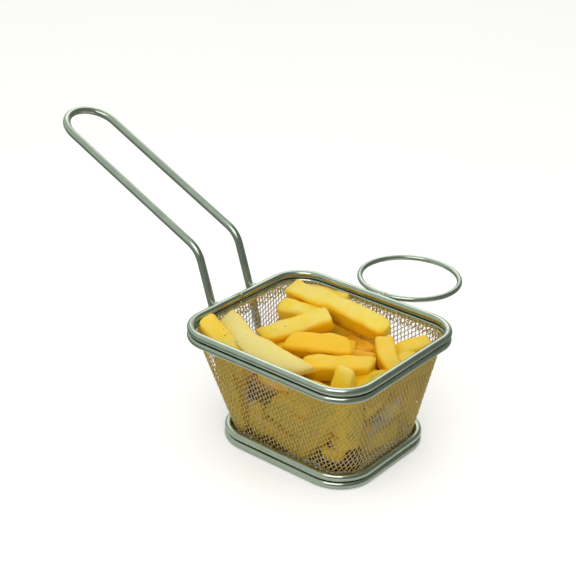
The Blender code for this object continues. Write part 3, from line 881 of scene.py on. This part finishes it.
class UnrolledWall:
    """The tub's wall laid out flat, as the band of cloth that it is rolled from.

    Lines that run up the wall rule it into narrow strips. Each strip is flat, so
    laying them side by side in one plane, from the seam round to the seam again,
    keeps every length. The wires are straight in that plane.
    """

    def __init__(self, seam, steps):
        self.s = seam + np.linspace(0, GIRTH + LAP, steps + 1)
        low = cloth_point(self.s, np.full_like(self.s, ARC_LENGTH))
        high = cloth_point(self.s, np.full_like(self.s, FOLD_START))
        feet = [np.zeros(2)]
        rises = [np.array([0, np.linalg.norm(high[0] - low[0])])]
        for index in range(steps):
            up = high[index] - low[index]
            up = up / np.linalg.norm(up)
            flat_up = rises[-1] / np.linalg.norm(rises[-1])
            flat_across = np.array([flat_up[1], -flat_up[0]])
            laid = []
            for spot in (low[index + 1], high[index + 1]):
                step = spot - low[index]
                along = step @ up
                across = np.linalg.norm(step - along * up)
                laid.append(feet[-1] + along * flat_up + across * flat_across)
            feet.append(laid[0])
            rises.append(laid[1] - laid[0])
        self.feet = np.array(feet)
        self.rises = np.array(rises)
        self.steps = steps

    def lay(self, s, h):
        """Where a point of the wall lies in the plane."""
        place = np.clip((s - self.s[0]) / (GIRTH + LAP) * self.steps, 0, self.steps - 1e-6)
        strip = place.astype(int)
        share = (place - strip)[:, None]
        up = ((h - ARC_LENGTH) / (FOLD_START - ARC_LENGTH))[:, None]
        here = self.feet[strip] + up * self.rises[strip]
        beyond = self.feet[strip + 1] + up * self.rises[strip + 1]
        return here + share * (beyond - here)

    def roll(self, spots):
        """s and h of points in the plane, and which of them are on the cloth."""
        offsets = spots[:, None] - self.feet[None]
        beside = self.rises[:, 0] * offsets[..., 1] - self.rises[:, 1] * offsets[..., 0]
        strip = (beside <= 0).sum(1) - 1
        on_cloth = (strip >= 0) & (strip < self.steps)
        strip = np.clip(strip, 0, self.steps - 1)
        row = np.arange(len(spots))
        before, after = beside[row, strip], beside[row, strip + 1]
        share = np.clip(before / (before - after), 0, 1)[:, None]
        foot = self.feet[strip] * (1 - share) + self.feet[strip + 1] * share
        rise = self.rises[strip] * (1 - share) + self.rises[strip + 1] * share
        up = ((spots - foot) * rise).sum(1) / (rise * rise).sum(1)
        s = self.s[strip] + share[:, 0] * (self.s[1] - self.s[0])
        h = ARC_LENGTH + up * (FOLD_START - ARC_LENGTH)
        return s, h, on_cloth & (h >= 0) & (h <= CLOTH_END)

    def level(self, s):
        """The direction in the plane that is level on the wall at s."""
        place = np.array([s - NUDGE, s + NUDGE])
        ends = self.lay(place, np.full(2, (ARC_LENGTH + FOLD_START) / 2))
        return (ends[1] - ends[0]) / np.linalg.norm(ends[1] - ends[0])


SEAM = STRETCH_STARTS[4] + STRETCHES[4] / 2 + SEAM_ASIDE
NEAR_WALL_MIDDLE = STRETCH_STARTS[6] + STRETCHES[6] / 2
WALL = UnrolledWall(SEAM, 420)


class WireSet:
    """The wires of the cloth that run one way, numbered across the flat band."""

    def __init__(self, climb):
        level = WALL.level(NEAR_WALL_MIDDLE)
        climb = math.radians(climb)
        self.way = np.array([level[0] * math.cos(climb) - level[1] * math.sin(climb),
                             level[0] * math.sin(climb) + level[1] * math.cos(climb)])
        self.across = np.array([-self.way[1], self.way[0]])

    def number(self, s, h):
        """The number of the wire at a point of the cloth, with its fraction."""
        return WALL.lay(s, h) @ self.across / CLOTH_PITCH

    def wires(self):
        """Each wire's number with s and h along it, in as many stretches as it has."""
        corners = np.concatenate([WALL.feet, WALL.feet + WALL.rises])
        middle = corners.mean(0)
        reach = np.linalg.norm(corners - middle, axis=1).max() + CLOTH_END - FOLD_START
        along = np.arange(-reach, reach, CLOTH_STEP)
        first = (middle @ self.across - reach) / CLOTH_PITCH
        last = (middle @ self.across + reach) / CLOTH_PITCH
        start = (middle @ self.way + along)[:, None] * self.way
        for number in range(math.ceil(first), math.floor(last) + 1):
            s, h, on_cloth = WALL.roll(start + self.across * number * CLOTH_PITCH)
            places = np.flatnonzero(on_cloth)
            for run in np.split(places, np.flatnonzero(np.diff(places) > 1) + 1):
                if len(run) > 3:
                    yield number, s[run], h[run]


def oil_and_reflection_tint(path, fries_tree):
    """How golden each place of a wire is, more near the fries: partly oil, partly painted reflection of the
    fries.
    """
    away = np.array([fries_tree.find(spot)[2] for spot in path])
    low, high = 10 * MM, TUB_TOP_Z - FOLD_DEPTH
    # the bottom band and the fold under the rim take the full tint as well; at the fold it is painted shade
    bottom_and_fold = np.interp([spot[2] for spot in path], [low, 3 * low, high - 1 * MM, high], [1, 0, 0, 1])
    return np.maximum(np.clip(1.6 - away / TINT_REACH, 0, 1), bottom_and_fold)


def lap_lift(s):
    """How far in the cloth's second end lies, where it laps over the first."""
    past = np.mod(s - SEAM, GIRTH + LAP)
    return np.interp(past, [GIRTH - LAP, GIRTH - LAP / 4], [0, 2 * CLOTH_HALF])


def make_wall_wires(name, own, other, lift, mat, fries_tree):
    """The wall wires of one set, waving over and under the other set."""
    tubes = Tubes(6)
    for number, s, h in own.wires():
        normals = cloth_normal(s, h)
        wave = lift * CLOTH_WAVE * np.cos(np.pi * (other.number(s, h) + number))
        path = cloth_point(s, h) + normals * (wave - lap_lift(s))[:, None]
        tubes.add(path, normals, CLOTH_WIRE, oil_and_reflection=oil_and_reflection_tint(path, fries_tree))
    return tubes.piece(name, mat, "woven_steel", ("woven_tub",))


def floor_clear(x, y):
    """How far inside the flat of the floor a point is."""
    half_x, half_y, corner, shift_x, shift_y = tub_size(FLOOR_MIDDLE_Z, CLOTH_HALF + FLOOR_ROUND)
    u = np.abs(x - shift_x) - (half_x - corner)
    v = np.abs(y - shift_y) - (half_y - corner)
    outside = np.hypot(np.maximum(u, 0), np.maximum(v, 0)) + np.minimum(np.maximum(u, v), 0)
    return corner - outside


def make_floor_wires(mat, fries_tree):
    """The square weave of the floor, cut to its rounded outline."""
    tubes = Tubes(6)
    reach = 60 * MM
    turn = math.radians(52)
    along = np.arange(-reach, reach, CLOTH_STEP)
    for lift, angle in ((1, turn), (-1, turn + math.pi / 2)):
        way = np.array([math.cos(angle), math.sin(angle)])
        across = np.array([-way[1], way[0]])
        for index in range(-26, 27):
            spots = across * index * CLOTH_PITCH + along[:, None] * way
            spots = spots[floor_clear(spots[:, 0], spots[:, 1]) > 0]
            if len(spots) < 4:
                continue
            crossing = spots @ way / CLOTH_PITCH
            z = FLOOR_MIDDLE_Z + lift * CLOTH_WAVE * np.cos(np.pi * (crossing + index))
            path = np.column_stack([spots, z])
            upright = np.tile([0.0, 0.0, 1.0], (len(path), 1))
            tubes.add(path, upright, CLOTH_WIRE, oil_and_reflection=oil_and_reflection_tint(path, fries_tree))
    return tubes.piece("cloth_floor_wires", mat, "woven_steel", ("woven_tub",))


# ---------------------------------------------------------------------- fries
def keep_in_tub(points):
    """Moves points that would cut the wall or floor to just inside them."""
    points = points.copy()
    points[:, 2] = np.maximum(points[:, 2], TUB_FLOOR_Z + 2 * CLOTH_HALF + WALL_CLEARANCE)
    z = points[:, 2]
    by_fold = np.clip((z - (FOLD_Z - FOLD_DEPTH - 2 * MM)) / (2 * MM), 0, 1)
    inset = 2 * CLOTH_HALF + WALL_CLEARANCE + by_fold * 2 * FOLD_ROUND
    half_x, half_y, corner, shift_x, shift_y = tub_size(z, inset)
    x = points[:, 0] - shift_x
    y = points[:, 1] - shift_y
    u = np.abs(x) - (half_x - corner)
    v = np.abs(y) - (half_y - corner)
    bend = (u > 0) & (v > 0)
    far = np.where(bend, np.hypot(u, v), np.maximum(u, v)) - corner
    push = np.maximum(far, 0)
    size = np.hypot(u, v) + 1e-9
    push_x = np.where(bend, u / size, u >= v) * push
    push_y = np.where(bend, v / size, u < v) * push
    points[:, 0] -= np.sign(x) * push_x
    points[:, 1] -= np.sign(y) * push_y
    return points


def fry_outline(edge_x, edge_y):
    """A fry's section as a rounded square from -1 to 1, with an edge mark.

    The mark is 1 in the middle of a rounded edge and 0 in the middle of a flat.
    """
    spots = []
    marks = []
    for quarter in range(4):
        side_x = (1, -1, -1, 1)[quarter]
        side_y = (1, 1, -1, -1)[quarter]
        for step in range(5):
            angle = math.pi / 2 * (quarter + step / 4)
            x = side_x * (1 - edge_x) + edge_x * math.cos(angle)
            y = side_y * (1 - edge_y) + edge_y * math.sin(angle)
            spots.append((x, y))
            marks.append((0.6, 0.9, 1.0, 0.9, 0.6)[step])
        flat = math.pi / 2 * (quarter + 1)
        sink = 0.955
        spots.append((math.cos(flat) * sink, math.sin(flat) * sink))
        marks.append(0.0)
    return np.array(spots), np.array(marks)


class Fries:
    """Single fries gathered into one mesh, with their colour marks."""

    def __init__(self, seed):
        self.random = random.Random(seed)
        self.vertices = []
        self.faces = []
        self.tones = []
        self.edges = []
        self.cuts = []
        self.count = 0

    def add(self, start, end, bow, width, height, roll, ends=(0.25, 0.25), taper=(0.1, 0.1), tone=None):
        """Adds one fry from start to end, all in mm.

        ends are how slanted the two cut ends are, and taper is how much each
        of them thins.
        """
        pick = self.random
        start = Vector(start) * MM
        end = Vector(end) * MM
        along = (end - start).normalized()
        length = (end - start).length
        upright = Vector((0, 0, 1)) if abs(along.z) < 0.8 else Vector((0, 1, 0))
        side = upright.cross(along).normalized()
        top = along.cross(side)
        turn = Matrix.Rotation(math.radians(roll), 3, along)
        bow_way = np.array(side) * bow * MM
        side = np.array(turn @ side)
        top = np.array(turn @ top)
        along = np.array(along)
        half_w = width * MM / 2
        half_h = height * MM / 2
        outline, marks = fry_outline(FRY_EDGE * pick.uniform(0.8, 1.2) / half_w,
                                     FRY_EDGE * pick.uniform(0.8, 1.2) / half_h)
        sides = len(outline)
        ease = 1.8 * MM / length
        near = [(0.0, 0.70), (0.08 * ease, 0.80), (0.3 * ease, 0.90), (0.8 * ease, 0.97)]
        inner = np.linspace(1.5 * ease, 1 - 1.5 * ease, max(9, round(length / (2.2 * MM))))
        shares = [s for s, _ in near] + list(inner) + [1 - s for s, _ in reversed(near)]
        sizes = [k for _, k in near] + [1.0] * len(inner) + [k for _, k in reversed(near)]
        twist = math.radians(pick.uniform(-9, 9))
        cut_u = [pick.uniform(-1, 1) * ends[0], pick.uniform(-1, 1) * ends[1]]
        cut_v = [pick.uniform(-1, 1) * ends[0], pick.uniform(-1, 1) * ends[1]]
        sway = (pick.uniform(-0.8, 0.8) * MM, pick.uniform(-0.8, 0.8) * MM)
        phase = pick.uniform(0, 6.3)
        self.count += 1
        rings = []
        for share, size in zip(shares, sizes):
            run = Vector((share * length / (13 * MM), self.count * 5.7, 0))
            wide = 1 + 0.16 * noise.noise(run)
            high = 1 + 0.16 * noise.noise(run + Vector((0, 0, 9.1)))
            from_start = max(0.0, 1 - share * length / TAPER_LENGTH)
            from_end = max(0.0, 1 - (1 - share) * length / TAPER_LENGTH)
            thin = (1 - taper[0] * from_start ** 1.5) * (1 - taper[1] * from_end ** 1.5)
            angle = twist * (share - 0.5)
            u = outline[:, 0] * half_w * size * wide * (1 + thin) / 2
            v = outline[:, 1] * half_h * size * high * thin
            turned_u = u * math.cos(angle) - v * math.sin(angle)
            turned_v = u * math.sin(angle) + v * math.cos(angle)
            by_start = math.exp(-share * length / (5 * MM))
            by_end = math.exp(-(1 - share) * length / (5 * MM))
            slant = (by_start * (cut_u[0] * u + cut_v[0] * v) + by_end * (cut_u[1] * u + cut_v[1] * v))
            arch = 4 * share * (1 - share)
            middle = np.array(start.lerp(end, share)) + bow_way * arch
            middle = middle + (side * sway[0] + top * sway[1]) * math.sin(phase + share * 5)
            rings.append(middle + turned_u[:, None] * side + turned_v[:, None] * top + slant[:, None] * along)
        caps = []
        for ring, sign in ((rings[0], -1), (rings[-1], 1)):
            centre = ring.mean(0)
            bulge = along * sign * pick.uniform(0.1, 0.6) * MM
            caps.append([centre + (ring - centre) * 0.6 + bulge * 0.7, centre + bulge])
        points = np.concatenate([np.concatenate(rings), caps[0][0], caps[1][0], [caps[0][1], caps[1][1]]])
        seed = Vector((self.count * 7.3, self.count * 1.9, 0))
        rough = np.array([
            noise.noise_vector(Vector(p) / (10 * MM) + seed) * 0.85
            + noise.noise_vector(Vector(p) / (4.2 * MM) + seed) * 0.42 for p in points]) * MM
        points = keep_in_tub(points + rough)
        self.close(points, len(rings), sides)
        edge = np.concatenate([
            np.tile(marks, len(rings)), np.full(2 * sides, 0.35), [0.2, 0.2]])
        edge[:sides] = edge[(len(rings) - 1) * sides:len(rings) * sides] = 0.9
        self.edges.append(edge)
        cut = np.zeros(len(points))
        cut[:2 * sides] = cut[(len(rings) - 2) * sides:] = 1
        self.cuts.append(cut)
        tone = pick.uniform(0.0, 0.6) if tone is None else tone
        self.tones.append(np.full(len(points), tone))

    def close(self, points, count, sides):
        """Faces of one fry, with both ends closed."""
        first = sum(len(part) for part in self.vertices)
        self.vertices.append(points)

        def band(a, b):
            for k in range(sides):
                n = (k + 1) % sides
                self.faces.append([a + k, a + n, b + n, b + k])

        for ring in range(count - 1):
            band(first + ring * sides, first + (ring + 1) * sides)
        inner_start = first + count * sides
        inner_end = inner_start + sides
        tip_start = inner_end + sides
        band(inner_start, first)
        band(first + (count - 1) * sides, inner_end)
        for k in range(sides):
            n = (k + 1) % sides
            self.faces.append([tip_start, inner_start + n, inner_start + k])
            self.faces.append([tip_start + 1, inner_end + k, inner_end + n])


def wall_spot(wall, place, z, inwards):
    """A point that far in from one wall, in mm, at a place along it."""
    half_x, half_y, _, shift_x, shift_y = (float(v) / MM for v in tub_size(z * MM, 2 * CLOTH_HALF))
    if wall in ("near", "far"):
        side = -1 if wall == "near" else 1
        return (place, side * (half_y - inwards) + shift_y, z)
    side = 1 if wall == "end" else -1
    return (side * (half_x - inwards) + shift_x, place, z)


def make_fries(mat):
    """All the fries: the top ones as they lie, then those below and at the walls."""
    fries = Fries(FRY_SEED)
    shapes = {
        "long_front": dict(ends=(0.2, 0.9), taper=(0.2, 0.35), tone=-0.55),
        "left_corner": dict(ends=(0.3, 0.2), tone=0.35),
        "long_back": dict(ends=(0.15, 0.5), taper=(0.1, 0.2), tone=0.1),
        "standing": dict(ends=(0.3, 0.2), taper=(0.75, 0.1), tone=0.2),
        "middle": dict(ends=(0.6, 0.6), taper=(0.25, 0.3), tone=0.85),
        "front": dict(ends=(0.3, 0.5), tone=0.6),
        "crossing": dict(ends=(0.5, 0.2), taper=(0.4, 0.1), tone=0.1),
        "sunk_back": dict(tone=1.0),
        "sunk_end": dict(tone=0.95),
        "sunk_middle": dict(tone=0.9),
        "low_front": dict(tone=0.85),
        "low_end": dict(tone=0.7),
        "far_end": dict(taper=(0.1, 0.3), tone=0.6),
        "behind_long": dict(tone=0.6),
    }
    for name, (start, end, bow, width, height, roll) in TOP_FRIES.items():
        fries.add(start, end, bow, width, height, roll, **shapes.get(name, {}))
    for start, end, width in UNDER_FRIES:
        fries.add(start, end, fries.random.uniform(-2, 2), width, 10, fries.random.uniform(-30, 30))
    walls = {"near": NEAR_WALL_FRIES, "end": END_WALL_FRIES, "far": FAR_WALL_FRIES, "handle": HANDLE_WALL_FRIES}
    for wall, rows in walls.items():
        for place_1, z_1, place_2, z_2, width, deeper in rows:
            inwards = 5.0 + deeper
            start = wall_spot(wall, place_1, z_1, inwards)
            end = wall_spot(wall, place_2, z_2, inwards)
            fries.add(start, end, 0, 10, width, 0)
    values = {"tone": np.concatenate(fries.tones), "edge": np.concatenate(fries.edges),
              "cut_end": np.concatenate(fries.cuts)}
    return new_piece("fries", np.concatenate(fries.vertices), fries.faces, mat,
                     ("fries_heap",), values)


def mark_painted_light(piece):
    """Marks painted light: how open to the air each point is, from 0 deep in a gap to 1 on top.

    Faces that look up get more of it, as painted light from above, and cut ends are paler too.
    """
    mesh = piece.data
    tree = BVHTree.FromPolygons([vertex.co for vertex in mesh.vertices],
                                [list(face.vertices) for face in mesh.polygons])
    spokes = []
    for index in range(OPEN_RAYS):
        rise = (index + 0.5) / OPEN_RAYS
        angle = index * math.pi * (3 - math.sqrt(5))
        flat = math.sqrt(1 - rise * rise)
        spokes.append(Vector((flat * math.cos(angle), flat * math.sin(angle), rise)))
    total = sum(spoke.z for spoke in spokes)
    upright = Vector((0, 0, 1))
    marks = []
    cut = mesh.attributes["cut_end"].data
    for vertex in mesh.vertices:
        turn = upright.rotation_difference(vertex.normal)
        start = vertex.co + vertex.normal * OPEN_START
        reached = 0.0
        for spoke in spokes:
            away = tree.ray_cast(start, turn @ spoke, OPEN_REACH)[3]
            reached += spoke.z * (1.0 if away is None else away / OPEN_REACH)
        # painted light from above: faces that look up count as more open
        facing_up_or_cut = max(min(max((vertex.normal.z + 0.1) / 0.6, 0), 1), 0.8 * cut[vertex.index].value)
        marks.append(reached / total * (SIDE_SHARE + (1 - SIDE_SHARE) * facing_up_or_cut))
    layer = mesh.attributes.new("painted_openness", "FLOAT", "POINT")
    layer.data.foreach_set("value", marks)


def mark_wall_shade(piece):
    """Marks painted shade on the fries close to the tub's wall below the rim, where their colour is darkened.
    """
    mesh = piece.data
    spots = np.array([vertex.co for vertex in mesh.vertices])
    half_x, half_y, _, shift_x, shift_y = tub_size(spots[:, 2], 0)
    gap = np.minimum(half_x - np.abs(spots[:, 0] - shift_x), half_y - np.abs(spots[:, 1] - shift_y))
    below = np.interp(spots[:, 2], [RIM_Z - 14 * MM, RIM_Z - 6 * MM], [1, 0])
    layer = mesh.attributes.new("wall_shade", "FLOAT", "POINT")
    layer.data.foreach_set("value", np.interp(gap, [3 * MM, 7 * MM], [0.8, 0]) * below)


def make_core(mat):
    """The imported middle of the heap, uneven and smaller than the fries round it."""
    rows, columns = 14, 96
    s = np.linspace(0, GIRTH, columns, endpoint=False)
    vertices = []
    for row in range(rows + 1):
        z = CORE_FLOOR_Z + (CORE_TOP_Z - CORE_FLOOR_Z) * row / rows
        inset = CORE_INSET + (CORE_LOW_INSET - CORE_INSET) * max(0, 1 - row / 3)
        half_x, half_y, corner, shift_x, shift_y = tub_size(z, inset)
        x, y = around(s, half_x, half_y, corner)
        vertices += [Vector((a + shift_x, b + shift_y, z)) for a, b in zip(x, y)]
    rings = [list(range(row * columns, (row + 1) * columns)) for row in range(rows + 1)]
    for way, base in ((-1, rings[0]), (1, rings[-1])):
        ring = base
        for share in (0.75, 0.5, 0.25):
            outer = [vertices[k] for k in base]
            middle = sum(outer, Vector()) / columns
            first = len(vertices)
            vertices += [middle.lerp(spot, share) for spot in outer]
            new = list(range(first, first + columns))
            rings = [new] + rings if way < 0 else rings + [new]
            ring = new
        tip = len(vertices)
        vertices.append(middle)
        rings = [tip, *rings] if way < 0 else [*rings, tip]
    faces = []
    for lower, upper in zip(rings, rings[1:]):
        for k in range(columns):
            n = (k + 1) % columns
            if isinstance(lower, int):
                faces.append([lower, upper[n], upper[k]])
            elif isinstance(upper, int):
                faces.append([lower[k], lower[n], upper])
            else:
                faces.append([lower[k], lower[n], upper[n], upper[k]])
    uneven = [spot + noise.noise_vector(spot / (9 * MM)) * min(3.0 * MM, spot.z - 2.5 * MM)
              for spot in vertices]
    return new_piece("fries_core", uneven, faces, mat, ("fries_heap",))


def tree_of(piece):
    """A search tree of a piece's vertices, to find how near it is."""
    tree = KDTree(len(piece.data.vertices))
    for index, vertex in enumerate(piece.data.vertices):
        tree.insert(vertex.co, index)
    tree.balance()
    return tree


# --------------------------------------------------------------------- studio
def make_floor(mat):
    """A wide floor, big enough to be all that is seen behind the basket."""
    size = 6.0
    mesh = bpy.data.meshes.new("studio_floor")
    corners = [(-size, -size, 0), (size, -size, 0), (size, size, 0), (-size, size, 0)]
    mesh.from_pydata(corners, [], [(0, 1, 2, 3)])
    mesh.materials.append(mat)
    floor = bpy.data.objects.new("studio_floor", mesh)
    bpy.context.scene.collection.objects.link(floor)


def sky_part(tree, facing, way, inner, outer):
    """How far each direction of the sky is within inner to outer degrees of way."""
    made = tree.nodes.new("ShaderNodeVectorMath")
    made.operation = "DOT_PRODUCT"
    made.inputs[1].default_value = Vector(way).normalized()
    tree.links.new(facing, made.inputs[0])
    shares = [math.cos(math.radians(angle)) for angle in (outer, inner)]
    return value_range(tree, made.outputs["Value"], *shares, 0.0, 1.0)


def make_world():
    """Soft light from all round; the wires mirror a dim room, darker low on two sides, with one bright patch
    high behind.
    """
    world = bpy.data.worlds.new("studio")
    bpy.context.scene.world = world
    world.use_nodes = True
    tree = world.node_tree
    back = tree.nodes["Background"]
    facing = tree.nodes.new("ShaderNodeTexCoord").outputs["Generated"]
    room = (0.50, 0.58, 0.51)
    for way, inner, outer, colour in (
            ((0.75, -0.45, 0.10), 38, 62, (0.16, 0.19, 0.16)),
            ((0.70, 0.62, 0.25), 38, 66, (0.15, 0.18, 0.15)),
            ((-0.52, 0.54, 0.66), 14, 28, (1.50, 1.55, 1.42))):
        room = mix_colour(tree, sky_part(tree, facing, way, inner, outer), room, colour)
    rays = tree.nodes.new("ShaderNodeLightPath")
    lit = mix_colour(tree, rays.outputs["Is Glossy Ray"], (0.76, 0.75, 0.72), room)
    tree.links.new(mix_colour(tree, rays.outputs["Is Camera Ray"], lit, (1.0, 1.0, 1.0)), back.inputs["Color"])
    back.inputs["Strength"].default_value = 1.0


def make_light(name, place, aim, size, power, mirrored):
    """A square softbox at place, turned to face aim, that the steel mirrors or not."""
    data = bpy.data.lights.new(name, "AREA")
    data.shape = "SQUARE"
    data.size = size
    data.energy = power
    lamp = bpy.data.objects.new(name, data)
    lamp.location = place
    lamp.rotation_euler = (Vector(aim) - Vector(place)).to_track_quat("-Z", "Y").to_euler()
    lamp.visible_camera = False
    lamp.visible_glossy = mirrored
    bpy.context.scene.collection.objects.link(lamp)


def make_lights():
    """A wide light overhead, a near one above the near corner and a low one in front."""
    aim = BASKET + Vector((0, 0, 0.05))
    make_light("overhead", BASKET + Vector((-0.15, 0.25, 0.90)), aim, 0.8, 0.80, False)
    make_light("near_corner", BASKET + Vector((0.13, -0.27, 0.43)), aim, 0.34, 0.6, True)
    make_light("low_front", BASKET + Vector((0.55, -0.70, 0.22)), aim, 0.6, 1.55, False)


def make_camera():
    """The camera, in front and to the right, looking down on the basket."""
    turn = CAMERA_AZIMUTH
    tilt = CAMERA_ELEVATION
    back = Vector((math.sin(turn) * math.cos(tilt), -math.cos(turn) * math.cos(tilt), math.sin(tilt)))
    level = Vector((math.cos(turn), math.sin(turn), 0))
    above = back.cross(level)
    right = level * math.cos(CAMERA_ROLL) + above * math.sin(CAMERA_ROLL)
    up = above * math.cos(CAMERA_ROLL) - level * math.sin(CAMERA_ROLL)
    data = bpy.data.cameras.new("camera")
    data.lens = CAMERA_LENS
    data.sensor_width = 36
    data.clip_start = 0.01
    camera = bpy.data.objects.new("camera", data)
    place = BASKET + back * CAMERA_DISTANCE + right * CAMERA_ASIDE.x + up * CAMERA_ASIDE.y
    pose = Matrix((right, up, back)).transposed().to_4x4()
    pose.translation = place
    camera.matrix_world = pose
    bpy.context.scene.collection.objects.link(camera)
    bpy.context.scene.camera = camera


def main():
    noise.seed_set(UNEVEN_SEED)
    bpy.context.scene.view_settings.view_transform = "Standard"
    marks = drawn_wire_group()
    mottle = mottle_group()
    wire = polished_wire_material(marks)
    cloth = cloth_wire_material(marks)
    hem_corner = RIM_CORNER + RIM_WIRE - HEM_WIRE
    # which side of each frame wire gets painted shade: under the upper wire, on top of the lower one
    below, above = math.pi, 0.0
    make_frame("rim_upper", "rim_upper_wire", RIM_HALF, RIM_CORNER, RIM_Z, RIM_WIRE, wire, below, 1)
    make_frame("rim_lower", "rim_lower_wire", HEM_HALF, hem_corner, HEM_Z, HEM_WIRE, wire, above, 2)
    for name, z, side, seed in (("base_lower", BASE_Z[0], above, 3), ("base_upper", BASE_Z[1], below, 4)):
        make_frame(name, name + "_wire", BASE_HALF, BASE_CORNER, z, BASE_WIRE, wire, side, seed, BASE_SHIFT)
    make_handle(wire)
    make_ring(wire)
    make_welds(weld_material(marks))
    fries = make_fries(fry_material(mottle))
    mark_painted_light(fries)
    mark_wall_shade(fries)
    make_core(core_material(mottle))
    fries_tree = tree_of(fries)
    rising = WireSet(RISING_CLIMB)
    falling = WireSet(FALLING_CLIMB)
    make_wall_wires("cloth_rising_wires", rising, falling, 1, cloth, fries_tree)
    make_wall_wires("cloth_falling_wires", falling, rising, -1, cloth, fries_tree)
    make_floor_wires(cloth, fries_tree)
    make_floor(floor_material())
    make_world()
    make_lights()
    make_camera()


main()
